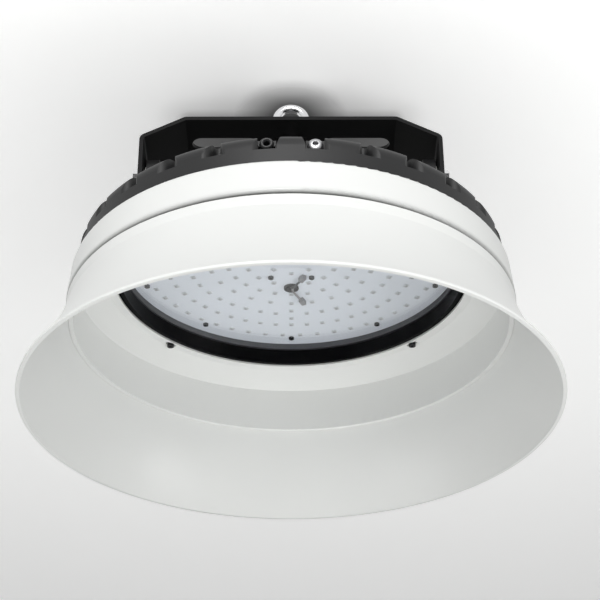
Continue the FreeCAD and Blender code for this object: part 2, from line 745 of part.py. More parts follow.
def build_wiring():
    """Grommet, the two leads of the LED board and the terminals they end in."""
    body = new_body("wire_grommet")
    body.setExpression("Placement.Base.y", wire_hole_y.text)
    barrel = s.wire_hole_radius - s.screw_play
    lip = barrel + s.grommet_lip
    revolved(body, "grommet", [
        (s.grommet_bore, board_low - s.grommet_lip_height),
        (lip, board_low - s.grommet_lip_height),
        (lip, board_low),
        (barrel, board_low),
        (barrel, base_top),
        (lip, base_top),
        (lip, base_top + s.grommet_lip_height),
        (s.grommet_bore, base_top + s.grommet_lip_height),
    ])
    terminals = new_body("board_terminals")
    level = board_low - s.grommet_lip_height - s.lead_radius - s.fit_gap
    bend = measure(3)
    ways = (
        ("led_lead_1", 0.9, wire_hole_y + 1.3, 64.5, 19.9, base_top + 22),
        ("led_lead_2", 0.6, wire_hole_y - 1.3, -61.4, 17.5, base_top + 14),
    )
    for name, x, y, turn, reach, upper in ways:
        back = -(y - driver_width / 2 - s.lead_end_gap) / sine(turn)
        lead = new_body(name)
        turning = FreeCAD.Rotation(Vector(0, 0, 1), turn)
        lead.Placement = FreeCAD.Placement(Vector(x, 0, 0), turning)
        lead.setExpression("Placement.Base.y", y.text)
        side = -1 if back.value < 0 else 1
        path = [
            (back, upper),
            (bend * side, upper),
            (0, upper - bend, bend, "left" if side > 0 else "right"),
            (0, level + bend),
            (bend, level, bend, "left"),
            (reach, level),
        ]
        spine = outline(lead, "path", "XZ_Plane", path, closed=False)
        section = circle_sketch(lead, "section", "YZ_Plane", 0, upper, s.lead_radius, back)
        pipe = lead.newObject("PartDesign::AdditivePipe", "insulation")
        pipe.Profile = section
        pipe.Spine = spine
        start = rectangle(reach + s.terminal_length / 2, measure(0), s.terminal_length, s.terminal_width)
        corners = [(x + u, y + v) for u, v in turned(start, turn)]
        sketch = outline(
            terminals, name + "_terminal_sketch", "XY_Plane", corners, board_low - s.terminal_height
        )
        padded(terminals, name + "_terminal", sketch, s.terminal_height)


# ------------------------------------------------------------------ heat sink and driver


def build_sink():
    """Cast heat sink: lobed rim, base plate, fins, driver housing and the yoke's ears."""
    body = new_body("heat_sink")
    side_top = flange_top + s.sink_side_height + 4
    shoulder_radius = sink_radius - s.sink_shoulder
    inner_drop = cone_slope * (sink_recess - flange_seat_radius)
    outer_drop = cone_slope * (sink_radius - flange_seat_radius)
    seat_gap = s.fit_gap
    revolved(body, "casting", [
        (0, base_low),
        (sink_bore, base_low),
        (sink_bore, sink_seat),
        (sink_recess, sink_seat),
        (sink_recess, flange_top + seat_gap - inner_drop),
        (sink_radius, flange_top + seat_gap - outer_drop),
        (sink_radius, side_top),
        (shoulder_radius, side_top + s.sink_shoulder, s.sink_shoulder, "left"),
        (base_top_radius, base_top),
        (0, base_top),
    ])
    floor = flange_top - outer_drop + s.sink_rim_height
    above = base_top + 20
    half = s.notch_half_width
    root = sink_radius - s.notch_depth
    round_start = sink_radius - s.lobe_round
    mouth = half + s.lobe_round
    notch = [
        (-half, root + half),
        (half, root + half, None, "left"),
        (half, round_start),
        (mouth, sink_radius, s.lobe_round, "right"),
        (mouth, sink_radius + 4),
        (-mouth, sink_radius + 4),
        (-mouth, sink_radius),
        (-half, round_start, s.lobe_round, "right"),
    ]
    pitch = 360 / s.lobe_count
    sketch = outline(body, "notch_sketch", "XY_Plane", turned(notch, pitch / 2), above)
    first = cut(body, "notch", sketch, above - floor)
    repeated(body, "notches", [first], s.lobe_count)
    build_fittings_pocket(body, floor, above)
    drill_sink(body)
    build_housing(body)
    build_ears(body)
    build_fins(body)


def build_fittings_pocket(body, floor, above):
    """Pockets for the gland and the vent plug with a bevelled lobe between them."""
    lobe_half = s.fitting_x - s.fitting_pocket_half
    lobe_front = sink_radius - 4
    lobe_top = floor + s.middle_lobe_height
    side = outline(body, "middle_lobe_sketch", "YZ_Plane", [
        (-lobe_front, floor - 1),
        (-lobe_front, lobe_top - s.middle_lobe_bevel),
        (s.middle_lobe_bevel - lobe_front, lobe_top),
        (measure(2) - fitting_face, lobe_top),
        (measure(2) - fitting_face, floor - 1),
    ], -lobe_half)
    padded(body, "middle_lobe", side, lobe_half * 2)
    start = sink_radius + 1
    lean = outline(body, "middle_lobe_lean_sketch", "XZ_Plane", [
        (lobe_half, floor + 3),
        (lobe_half + 1, floor + 3),
        (lobe_half + 1, lobe_top + 1),
        (lobe_half - s.middle_lobe_lean, lobe_top + 1),
    ], start)
    second = cut(body, "middle_lobe_lean", lean, start - fitting_face)
    pocket = rectangle(s.fitting_x, -(fitting_face + 12), s.fitting_pocket_half * 2, measure(24))
    sketch = outline(body, "fitting_pocket_sketch", "XY_Plane", pocket, above)
    first = cut(body, "fitting_pocket", sketch, above - floor)
    mirrored(body, "fitting_pockets", [second, first])


def build_fins(body):
    """Straight fins from the driver housing out to the lobes."""
    inside = base_top - 1
    root = housing_radius - 1
    top = s.fin_end_height + s.fin_rise
    sketch = outline(body, "fin_sketch", "XZ_Plane", [
        (root, inside),
        (base_top_radius, inside),
        (fin_end_radius, inside - 11),
        (fin_end_radius, s.fin_end_height),
        (root, top),
    ])
    first = padded(body, "fin", sketch, s.fin_wall, both_ways=True)
    repeated(body, "fins", [first], s.fin_count)


def build_housing(body):
    """Round wall of the driver housing, tapped for the cover's screws."""
    revolved(body, "housing", [
        (housing_inner, base_top - 1),
        (housing_radius, base_top - 1),
        (housing_radius, housing_top),
        (housing_inner, housing_top),
    ])
    place = at_angle(housing_screw_radius, 0)
    first = drilled(body, "cover_thread", "XY_Plane", *place, screw_3, housing_top + 1, 11)
    repeated(body, "cover_threads", [first], s.cover_screw_count)


def build_ears(body):
    """Two ears with round tops, tapped for the tilt bolts."""
    foot = base_top - 4
    corners = [
        (-s.ear_radius, foot),
        (s.ear_radius, foot),
        (s.ear_radius, s.pivot_z),
        (-s.ear_radius, s.pivot_z, None, "left"),
    ]
    inner_face = ear_face - s.ear_wall
    sketch = outline(body, "ear_sketch", "YZ_Plane", corners, inner_face)
    ear = padded(body, "ear", sketch, s.ear_wall)
    thread = drilled(
        body, "ear_thread", "YZ_Plane", 0, s.pivot_z, s.pivot_thread_radius, ear_face + 1, 16
    )
    mirrored(body, "ears", [ear, thread])


def drill_sink(body):
    """Tapped holes, the hole for the LED leads and the passages behind the fittings."""
    depth = measure(9)
    first = drilled(
        body, "bezel_thread", "XY_Plane", 0, fixing_radius, screw_4, sink_seat + depth, depth + 1
    )
    repeated(body, "bezel_threads", [first], s.bezel_screw_count)
    drill_board_screws(body, screw_3, base_low + 5.8, 7)
    for number, (x, y) in enumerate(driver_places(), start=1):
        drilled(body, f"driver_thread_{number}", "XY_Plane", x, y, screw_3, base_top + 1, 7)
    drilled(body, "wire_hole", "XY_Plane", 0, wire_hole_y, s.wire_hole_radius, base_top + 1, 12)
    thread_end = fitting_face - s.fitting_thread_length
    level = s.fitting_z + 1.5
    parts = [
        drilled(body, "fitting_thread", "XZ_Plane", s.fitting_x, s.fitting_z,
                s.fitting_thread_radius + s.screw_play, fitting_face + 1,
                fitting_face + 1 - thread_end),
        drilled(body, "passage_in", "XZ_Plane", s.fitting_x, level, s.passage_radius,
                thread_end + 1, thread_end + 1 - passage_y),
        drilled(body, "passage_up", "XY_Plane", s.fitting_x, -passage_y, s.passage_radius,
                passage_z, passage_z - level),
        drilled(body, "passage_along", "XZ_Plane", s.fitting_x, passage_z, s.passage_radius,
                passage_y, passage_y - passage_end),
        drilled(body, "passage_out", "XY_Plane", s.fitting_x, -passage_end, s.passage_radius,
                base_top + 1, base_top + 1 - passage_z),
    ]
    mirrored(body, "passages", parts)


def driver_places():
    """Places of the driver's four screws."""
    x = driver_length / 2 + s.driver_tab / 2
    return [(x * i, measure(15) * k) for i in (-1, 1) for k in (-1, 1)]


def build_driver():
    """Potted driver with fixing tabs, its screws, and the cover with gasket and screws."""
    body = new_body("led_driver")
    box = rectangle(measure(0), measure(0), driver_length, driver_width)
    sketch = outline(body, "driver_sketch", "XY_Plane", box, base_top)
    padded(body, "driver_box", sketch, s.driver_height)
    tabs = rectangle(measure(0), measure(0), driver_length + s.driver_tab * 2, measure(40))
    sketch = outline(body, "tab_sketch", "XY_Plane", tabs, base_top)
    padded(body, "driver_tabs", sketch, s.driver_tab_wall)
    tab_top = base_top + s.driver_tab_wall
    for number, (x, y) in enumerate(driver_places(), start=1):
        drilled(body, f"tab_hole_{number}", "XY_Plane", x, y, screw_3 + s.hole_play, tab_top + 1, 5)
    shank = screw_3 - s.screw_play
    screws("driver_screws", driver_places(), 1, screw_3 * 1.8, screw_3 * 1.3, shank, 8, tab_top, True)

    place = at_angle(housing_screw_radius, 0)
    gasket = ring("cover_gasket", housing_inner, housing_radius, housing_top, cover_low)
    cover = new_body("driver_cover")
    disc(cover, "cover_disc", "XY_Plane", 0, 0, housing_radius, cover_low, s.cover_wall)
    for body in (gasket, cover):
        first = drilled(
            body, "cover_hole", "XY_Plane", *place, screw_3 + 0.2, cover_top + 1, s.cover_wall + 4
        )
        repeated(body, "cover_holes", [first], s.cover_screw_count)
    screws(
        "cover_screws", [place], s.cover_screw_count, screw_3 * 1.8, screw_3 * 1.5, shank, 12,
        cover_top, True,
    )


# ------------------------------------------------------------------ cable gland and vent plug


def fitting_body(name, side):
    """A body whose own Z axis points out of a fitting's hole."""
    body = new_body(name)
    body.Placement = FreeCAD.Placement(Vector(0, 0, 0), FreeCAD.Rotation(Vector(1, 0, 0), 90))
    body.setExpression("Placement.Base.x", (s.fitting_x * side).text)
    body.setExpression("Placement.Base.y", (-fitting_face).text)
    body.setExpression("Placement.Base.z", s.fitting_z.text)
    return body


def build_gland():
    """Cable gland: body, dome nut and rubber seal."""
    bore = s.cable_radius + 0.6
    thread = s.fitting_thread_radius
    hex_top = s.gland_body_length
    neck_top = hex_top + s.gland_neck_length
    cup = s.gland_neck_radius - 0.8
    body = fitting_body("gland_body", -1)
    sketch = outline(body, "hexagon_sketch", "XY_Plane", hexagon(measure(0), measure(0), s.gland_flats))
    padded(body, "hexagon", sketch, hex_top)
    disc(body, "thread", "XY_Plane", 0, 0, thread, -s.fitting_thread_length, s.fitting_thread_length)
    disc(body, "neck", "XY_Plane", 0, 0, s.gland_neck_radius, hex_top, s.gland_neck_length)
    drilled(body, "bore", "XY_Plane", 0, 0, bore, neck_top + 1, neck_top + s.fitting_thread_length + 2)
    drilled(body, "cup", "XY_Plane", 0, 0, cup, neck_top + 1, s.gland_neck_length + 1)

    seal = fitting_body("gland_seal", -1)
    shoulder = neck_top + 0.1
    tip = neck_top + 4
    revolved(seal, "seal", [
        (s.cable_radius, hex_top),
        (cup - 0.1, hex_top),
        (cup - 0.1, shoulder),
        (s.gland_neck_radius - 0.2, shoulder),
        (cup - 0.5, tip),
        (s.cable_radius, tip),
    ])

    nut = fitting_body("gland_nut", -1)
    low = hex_top + 0.2
    dome = low + s.gland_nut_length * 0.6
    high = low + s.gland_nut_length
    sketch = outline(
        nut, "nut_sketch", "XY_Plane", hexagon(measure(0), measure(0), s.gland_flats), low
    )
    padded(nut, "nut_hexagon", sketch, dome - low)
    revolved(nut, "dome", [
        (0, dome - 1),
        (s.gland_flats / 2, dome - 1),
        (s.gland_flats / 2, dome),
        (s.cable_radius + 1.6, high, s.gland_nut_length * 0.45, "left"),
        (0, high),
    ])
    room = outline(nut, "room_sketch", "XZ_Plane", [
        (0, low - 1),
        (s.gland_neck_radius + s.screw_play, low - 1),
        (s.gland_neck_radius + s.screw_play, shoulder + 0.2),
        (cup - 0.2, tip + 0.3),
        (s.cable_radius + 0.6, tip + 0.3),
        (s.cable_radius + 0.6, high + 1),
        (0, high + 1),
    ])
    groove = nut.newObject("PartDesign::Groove", "nut_room")
    groove.Profile = room
    groove.ReferenceAxis = (room, ["V_Axis"])
    groove.Angle = 360


def build_plug():
    """Vent plug: a domed cap with a hexagon socket on a threaded stem."""
    body = fitting_body("vent_plug", 1)
    revolved(body, "cap", [
        (0, -s.fitting_thread_length),
        (s.fitting_thread_radius, -s.fitting_thread_length),
        (s.fitting_thread_radius, 0),
        (s.plug_radius, 0),
        (s.plug_radius, s.plug_length - s.plug_round),
        (s.plug_radius - s.plug_round, s.plug_length, s.plug_round, "left"),
        (0, s.plug_length),
    ])
    sketch = outline(
        body, "socket_sketch", "XY_Plane", hexagon(measure(0), measure(0), measure(5)), s.plug_length
    )
    cut(body, "socket", sketch, 4)


# ------------------------------------------------------------------ yoke and eye bolt


def build_yoke():
    """One bent strip with two long slots, a hole for the eye bolt and two tilt holes."""
    body = new_body("yoke")
    run = leg_outer - yoke_flat_half
    slope = math.degrees(math.atan2(s.shoulder_drop.value, run.value))
    first_shift = s.strip_wall * tangent(slope / 2)
    second_shift = s.strip_wall * tangent((90 - slope) / 2)
    shoulder = s.yoke_top - s.shoulder_drop
    leg_low = s.pivot_z - s.leg_below_pivot
    half = [
        (leg_inner, leg_low),
        (leg_outer, leg_low),
        (leg_outer, shoulder),
        (yoke_flat_half, s.yoke_top),
    ]
    inner_half = [
        (yoke_flat_half - first_shift, yoke_under),
        (leg_inner, shoulder - second_shift),
    ]
    corners = half + [(-x, y) for x, y in reversed(half)] + [(-x, y) for x, y in reversed(inner_half)]
    sketch = outline(body, "strip_sketch", "XZ_Plane", corners + inner_half)
    padded(body, "strip", sketch, s.strip_width, both_ways=True)

    def along(axis, edge):
        line = edge.Vertexes[-1].Point - edge.Vertexes[0].Point
        return abs(abs(getattr(line, axis)) - line.Length) < 0.001

    def bend_edge(places):
        def chosen(edge):
            middle = edge.CenterOfMass
            hits = [near(abs(middle.x), x) and near(middle.z, z) for x, z in places]
            return along("y", edge) and any(hits)
        return chosen

    outer = ((yoke_flat_half, s.yoke_top), (leg_outer, shoulder))
    rounded(body, "outer_bends", s.bend_round + s.strip_wall, bend_edge(outer))
    rounded(body, "inner_bends", s.bend_round, bend_edge(inner_half))
    rounded(
        body, "leg_corners", s.leg_corner,
        lambda edge: along("x", edge) and near(edge.CenterOfMass.z, leg_low),
    )
    corners = slot(yoke_slot_x, measure(0), yoke_slot_length, s.yoke_slot_width)
    sketch = outline(body, "slot_sketch", "XY_Plane", corners, s.yoke_top + 1)
    slots = cut(body, "slot", sketch, s.strip_wall + 2)
    hole = drilled(
        body, "tilt_hole", "YZ_Plane", 0, s.pivot_z, s.pivot_thread_radius, leg_outer + 1,
        s.strip_wall + 2,
    )
    mirrored(body, "both_sides", [slots, hole])
    eye_hole = s.eye_thread_radius + s.hole_play
    drilled(body, "eye_hole", "XY_Plane", 0, 0, eye_hole, s.yoke_top + 1, s.strip_wall + 2)


def pivot_ring(name, inner, outer, low, length, gap=0):
    """A washer on each tilt bolt; a gap opens it as a spring washer."""
    body = new_body(name)
    parts = [disc(body, "washer", "YZ_Plane", 0, s.pivot_z, outer, low, length)]
    parts.append(drilled(body, "washer_hole", "YZ_Plane", 0, s.pivot_z, inner, low + length + 1, length + 2))
    if gap:
        corners = rectangle(measure(0), s.pivot_z + outer, measure(gap), outer * 1.4)
        sketch = outline(body, "gap_sketch", "YZ_Plane", corners, low + length + 1)
        parts.append(cut(body, "gap", sketch, length + 2))
    mirrored(body, "washers", parts)


def build_pivot():
    """Tilt bolts with their plain, spring and friction washers."""
    shank = s.pivot_thread_radius - s.screw_play / 2
    inner = s.pivot_thread_radius + s.hole_play
    pivot_ring(
        "friction_washers", inner, s.friction_washer_radius, ear_face, s.friction_washer_wall
    )
    pivot_ring("pivot_washers", inner, s.washer_radius, pivot_washer_x, s.washer_wall)
    spring_x = pivot_washer_x + s.washer_wall
    pivot_ring("spring_washers", inner, s.washer_radius - 1, spring_x, s.spring_washer_wall, 1.5)
    body = new_body("pivot_bolts")
    sketch = outline(
        body, "head_sketch", "YZ_Plane", hexagon(measure(0), s.pivot_z, s.bolt_head_flats), pivot_head_x
    )
    head = padded(body, "head", sketch, s.bolt_head_height)
    end = ear_face - s.ear_wall + 1
    stem = disc(body, "shank", "YZ_Plane", 0, s.pivot_z, shank, end, pivot_head_x - end)
    mirrored(body, "bolts", [head, stem])


def build_eye():
    """Eye bolt that stands on the yoke by its collar, with a nut and a washer below."""
    body = new_body("eye_bolt")
    body.setExpression("Placement.Base.z", (s.yoke_top + s.eye_height).text)
    sketch = circle_sketch(body, "bar_sketch", "XY_Plane", s.eye_ring_radius, 0, s.eye_bar_radius)
    eye = body.newObject("PartDesign::Revolution", "eye")
    eye.Profile = sketch
    eye.ReferenceAxis = (sketch, ["V_Axis"])
    eye.Angle = 360
    thread = s.eye_thread_radius - s.screw_play
    end = s.eye_height + s.eye_shank_below
    disc(body, "shank", "XY_Plane", 0, 0, thread, -end, end - s.eye_ring_radius)
    disc(body, "collar", "XY_Plane", 0, 0, s.eye_collar_radius, -s.eye_height, s.eye_collar_height)
    bore = circle_sketch(body, "bore_sketch", "XZ_Plane", 0, 0, s.eye_bore_radius)
    cut(body, "bore", bore, s.eye_bar_radius * 4, both_ways=True)

    nut = new_body("eye_nut")
    low = yoke_under - s.eye_washer_wall - s.eye_nut_height
    corners = hexagon(measure(0), measure(0), s.eye_nut_flats)
    padded(nut, "nut", outline(nut, "nut_sketch", "XY_Plane", corners, low), s.eye_nut_height)
    drilled(
        nut, "nut_thread", "XY_Plane", 0, 0, s.eye_thread_radius, low + s.eye_nut_height + 0.5,
        s.eye_nut_height + 1,
    )
    washer = new_body("eye_washer")
    low = yoke_under - s.eye_washer_wall
    disc(washer, "washer", "XY_Plane", 0, 0, s.eye_washer_radius, low, s.eye_washer_wall)
    drilled(
        washer, "washer_hole", "XY_Plane", 0, 0, s.eye_thread_radius + 0.25,
        low + s.eye_washer_wall + 0.5, s.eye_washer_wall + 1,
    )


build_skirt()
build_drum()
build_reflector_screws()
build_bezel()
build_lens()
build_board()
build_leds()
build_wiring()
build_sink()
build_driver()
build_gland()
build_plug()
build_yoke()
build_pivot()
build_eye()
doc.recompute()

troubled = [item.Label for item in doc.Objects if {"Invalid", "Error"} & set(item.State)]
if troubled:
    raise SystemExit(f"objects in trouble: {troubled}")
os.makedirs("parts", exist_ok=True)
for node in NODES:
    if node.Shape.isNull() or not node.Shape.isValid():
        raise SystemExit(f"{node.Label} has no valid shape")
for node in NODES:
    node.Shape.exportStep(f"parts/{node.Label}.step")
    box = node.Shape.BoundBox
    print(node.Label, len(node.Shape.Solids), round(node.Shape.Volume / 1000, 2), "cm3",
          [round(value, 1) for value in (box.XMin, box.XMax, box.YMin, box.YMax, box.ZMin, box.ZMax)])
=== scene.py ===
"""High bay light: finishes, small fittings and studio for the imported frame.

Metres, the CAD frame: origin at the centre of the reflector's mouth, +Z up to the eye bolt,
+X along the yoke's tilt axis, -Y the side with the cable gland and the vent plug.
"""
import math

import bpy
import numpy as np
from mathutils import Matrix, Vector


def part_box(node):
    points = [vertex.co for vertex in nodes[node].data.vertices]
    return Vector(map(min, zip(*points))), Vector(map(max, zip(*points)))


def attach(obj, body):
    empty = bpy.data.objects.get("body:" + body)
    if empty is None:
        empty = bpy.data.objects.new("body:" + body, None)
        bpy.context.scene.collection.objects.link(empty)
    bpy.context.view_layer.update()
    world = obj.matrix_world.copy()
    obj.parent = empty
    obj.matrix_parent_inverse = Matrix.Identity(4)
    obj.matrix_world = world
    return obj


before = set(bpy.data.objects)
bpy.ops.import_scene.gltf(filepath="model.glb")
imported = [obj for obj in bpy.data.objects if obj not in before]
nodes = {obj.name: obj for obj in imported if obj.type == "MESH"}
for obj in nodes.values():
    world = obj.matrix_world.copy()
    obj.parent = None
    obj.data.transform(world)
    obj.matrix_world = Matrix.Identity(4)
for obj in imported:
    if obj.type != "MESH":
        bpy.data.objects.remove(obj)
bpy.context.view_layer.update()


# ------------------------------------------------------------------ meshes


def ring_faces(rows, columns):
    """Quads of a grid of rows by columns points whose columns close on themselves."""
    row, column = np.meshgrid(np.arange(rows - 1), np.arange(columns), indexing="ij")
    after = (column + 1) % columns
    low, high = row * columns, (row + 1) * columns
    return np.stack([low + column, low + after, high + after, high + column], -1).reshape(-1, 4)


def lathe(profile, turns=96):
    """Points of (radius, height) pairs carried round Z: x = r cos a, y = r sin a, z = h."""
    angles = np.linspace(0, 2 * np.pi, turns, endpoint=False)
    radius, height = np.asarray(profile, float).T
    points = np.stack(
        [
            radius[:, None] * np.cos(angles),
            radius[:, None] * np.sin(angles),
            np.repeat(height[:, None], turns, 1),
        ],
        -1,
    )
    return points.reshape(-1, 3), ring_faces(len(radius), turns)


def copies(points, faces, places, turns):
    """The same mesh at every place, turned about Z by its own angle: p' = R(a) p + place."""
    cos, sin = np.cos(turns)[:, None], np.sin(turns)[:, None]
    x, y, z = points.T
    heights = np.broadcast_to(z, (len(turns), len(z)))
    moved = np.stack([x * cos - y * sin, x * sin + y * cos, heights], -1) + places[:, None, :]
    shifted = faces[None] + (np.arange(len(turns)) * len(points))[:, None, None]
    return moved.reshape(-1, 3), shifted.reshape(-1, faces.shape[1])


def add_mesh(name, points, faces, material, smooth=True):
    """A mesh object at the origin from arrays of points and quads."""
    mesh = bpy.data.meshes.new(name)
    mesh.from_pydata(points.tolist(), [], faces.tolist())
    mesh.polygons.foreach_set("use_smooth", np.full(len(mesh.polygons), smooth))
    mesh.materials.append(material)
    piece = bpy.data.objects.new(name, mesh)
    bpy.context.scene.collection.objects.link(piece)
    return piece


# ------------------------------------------------------------------ shared effects

PIT_SHARE = 0.6  # pits' height over the grain's, on a cast skin
LINE_STRETCH = 0.04  # how slowly a drawn metal's lines change along them
GROOVE_REACH = 0.008  # height over which the groove's shadow clears
GROOVE_UNDERCUT = 0.003  # below the groove's floor the paint is clear again
STRIP_REACH, EYE_REACH = 0.04, 0.06  # widths of the ceiling's soft shadow

# (place, level) stops from the darkest place out to the clear one
GROOVE_STOPS = ((0.0, 0.3), (0.3, 0.36), (0.45, 0.62), (0.7, 0.88), (1.0, 1.0))
STRIP_STOPS = ((0.0, 0.15), (0.1, 0.52), (0.4, 0.84), (1.0, 1.0))
EYE_STOPS = ((0.33, 0.2), (0.53, 0.42), (0.73, 0.65), (1.0, 1.0))


def node_group(name, inputs, outputs):
    """An empty shader group with named float sockets, and its two end nodes."""
    group = bpy.data.node_groups.new(name, "ShaderNodeTree")
    for label, value in inputs:
        socket = group.interface.new_socket(label, in_out="INPUT", socket_type="NodeSocketFloat")
        socket.default_value = value
    group.interface.new_socket("Vector", in_out="INPUT", socket_type="NodeSocketVector")
    for label in outputs:
        group.interface.new_socket(label, in_out="OUTPUT", socket_type="NodeSocketFloat")
    return group, group.nodes.new("NodeGroupInput"), group.nodes.new("NodeGroupOutput")


def maths(tree, operation, first, second):
    """A Math node on sockets or numbers."""
    node = tree.nodes.new("ShaderNodeMath")
    node.operation = operation
    for socket, value in zip(node.inputs, (first, second)):
        if hasattr(value, "links"):
            tree.links.new(value, socket)
        else:
            socket.default_value = value
    return node.outputs[0]


def noise(tree, vector, scale, detail=2.0, roughness=0.5):
    """A Noise Texture's value on object coordinates."""
    node = tree.nodes.new("ShaderNodeTexNoise")
    node.inputs["Detail"].default_value = detail
    node.inputs["Roughness"].default_value = roughness
    tree.links.new(vector, node.inputs["Vector"])
    if hasattr(scale, "links"):
        tree.links.new(scale, node.inputs["Scale"])
    else:
        node.inputs["Scale"].default_value = scale
    return node.outputs["Fac"]


def make_coat_group():
    """Sprayed coat: fine orange peel in Height, slow clouds in Shade, both near 0.5."""
    group, source, target = node_group(
        "sprayed_coat", [("Peel scale", 900.0), ("Cloud scale", 6.0)], ["Height", "Shade"]
    )
    peel = noise(group, source.outputs["Vector"], source.outputs["Peel scale"], 1.5)
    cloud = noise(group, source.outputs["Vector"], source.outputs["Cloud scale"], 3.0)
    group.links.new(peel, target.inputs["Height"])
    group.links.new(cloud, target.inputs["Shade"])
    return group


def make_cast_group():
    """Cast skin: pits from a Voronoi field under fine grain in Height, stains in Shade."""
    group, source, target = node_group(
        "cast_skin", [("Grain scale", 1400.0), ("Pit scale", 420.0)], ["Height", "Shade"]
    )
    grain = noise(group, source.outputs["Vector"], source.outputs["Grain scale"], 3.0, 0.6)
    cells = group.nodes.new("ShaderNodeTexVoronoi")
    group.links.new(source.outputs["Vector"], cells.inputs["Vector"])
    group.links.new(source.outputs["Pit scale"], cells.inputs["Scale"])
    pits = maths(group, "MULTIPLY", cells.outputs["Distance"], PIT_SHARE)
    group.links.new(maths(group, "ADD", grain, pits), target.inputs["Height"])
    group.links.new(noise(group, source.outputs["Vector"], 11.0, 4.0), target.inputs["Shade"])
    return group


def make_turned_group():
    """Turned or drawn metal: fine lines along one axis in Height, smears in Shade."""
    group, source, target = node_group("drawn_metal", [("Line scale", 2500.0)], ["Height", "Shade"])
    stretch = group.nodes.new("ShaderNodeMapping")
    stretch.inputs["Scale"].default_value = (1.0, 1.0, LINE_STRETCH)
    group.links.new(source.outputs["Vector"], stretch.inputs["Vector"])
    lines = noise(group, stretch.outputs["Vector"], source.outputs["Line scale"], 2.0)
    group.links.new(lines, target.inputs["Height"])
    group.links.new(noise(group, source.outputs["Vector"], 40.0, 3.0), target.inputs["Shade"])
    return group


def shade_ramp(tree, value, reach, stops):
    """Grey of value / reach through (place, level) stops, as a socket."""
    ramp = tree.nodes.new("ShaderNodeValToRGB")
    tree.links.new(maths(tree, "DIVIDE", value, reach), ramp.inputs["Fac"])
    marks = ramp.color_ramp.elements
    while len(marks) < len(stops):
        marks.new(0.5)
    for mark, (place, _) in zip(marks, stops):
        mark.position = place
    for mark, (_, level) in zip(marks, stops):
        mark.color = (level, level, level, 1.0)
    return ramp.outputs["Color"]


def make_groove_group():
    """Painted shadow of the groove over the collar, outside Radius: Mask rises with height over
    Floor.
    """
    group, source, target = node_group(
        "groove_shade", [("Floor", 0.0925), ("Radius", 0.2062)], ["Mask"]
    )
    split = group.nodes.new("ShaderNodeSeparateXYZ")
    group.links.new(source.outputs["Vector"], split.inputs[0])
    rise = maths(group, "SUBTRACT", split.outputs["Z"], source.outputs["Floor"])
    flat = group.nodes.new("ShaderNodeVectorMath")
    flat.operation = "MULTIPLY"
    flat.inputs[1].default_value = (1.0, 1.0, 0.0)
    group.links.new(source.outputs["Vector"], flat.inputs[0])
    reach = group.nodes.new("ShaderNodeVectorMath")
    reach.operation = "LENGTH"
    group.links.new(flat.outputs["Vector"], reach.inputs[0])
    inside = maths(group, "LESS_THAN", reach.outputs["Value"], source.outputs["Radius"])
    below = maths(group, "LESS_THAN", rise, -GROOVE_UNDERCUT)
    clear = maths(group, "MAXIMUM", inside, below)
    shade = shade_ramp(group, rise, GROOVE_REACH, GROOVE_STOPS)
    group.links.new(maths(group, "MAXIMUM", shade, clear), target.inputs["Mask"])
    return group


def make_shadow_group():
    """Painted soft shadow on the ceiling, from distances to a strip over the yoke and to the eye."""
    group, source, target = node_group(
        "yoke_shadow",
        [("Half length", 0.105), ("Half depth", 0.06), ("Middle", 0.095), ("Eye", 0.03)],
        ["Mask"],
    )
    split = group.nodes.new("ShaderNodeSeparateXYZ")
    group.links.new(source.outputs["Vector"], split.inputs[0])
    x, y = split.outputs["X"], split.outputs["Y"]

    def length(first, second):
        """Square root of the sum of the squares of two sockets."""
        squares = [maths(group, "MULTIPLY", side, side) for side in (first, second)]
        return maths(group, "SQRT", maths(group, "ADD", *squares), 0.0)

    across = maths(group, "ABSOLUTE", x, 0.0)
    side = maths(group, "SUBTRACT", across, source.outputs["Half length"])
    off = maths(group, "ABSOLUTE", maths(group, "SUBTRACT", y, source.outputs["Middle"]), 0.0)
    ahead = maths(group, "SUBTRACT", off, source.outputs["Half depth"])
    strip = length(maths(group, "MAXIMUM", side, 0.0), maths(group, "MAXIMUM", ahead, 0.0))
    eye = length(x, maths(group, "SUBTRACT", y, source.outputs["Eye"]))
    near_strip = shade_ramp(group, strip, STRIP_REACH, STRIP_STOPS)
    near_eye = shade_ramp(group, eye, EYE_REACH, EYE_STOPS)
    group.links.new(maths(group, "MULTIPLY", near_strip, near_eye), target.inputs["Mask"])
    return group


def masked(material, group):
    """The material's colour times the Mask of a group; returns the Mask's socket."""
    tree = material.node_tree
    shader = tree.nodes["Principled BSDF"]
    effect = tree.nodes.new("ShaderNodeGroup")
    effect.node_tree = group
    tree.links.new(tree.nodes["Texture Coordinate"].outputs["Object"], effect.inputs["Vector"])
    dim = tree.nodes.new("ShaderNodeVectorMath")
    dim.operation = "SCALE"
    tree.links.new(shader.inputs["Base Color"].links[0].from_socket, dim.inputs[0])
    tree.links.new(effect.outputs["Mask"], dim.inputs["Scale"])
    tree.links.new(dim.outputs["Vector"], shader.inputs["Base Color"])
    return effect.outputs["Mask"]


# ------------------------------------------------------------------ finishes


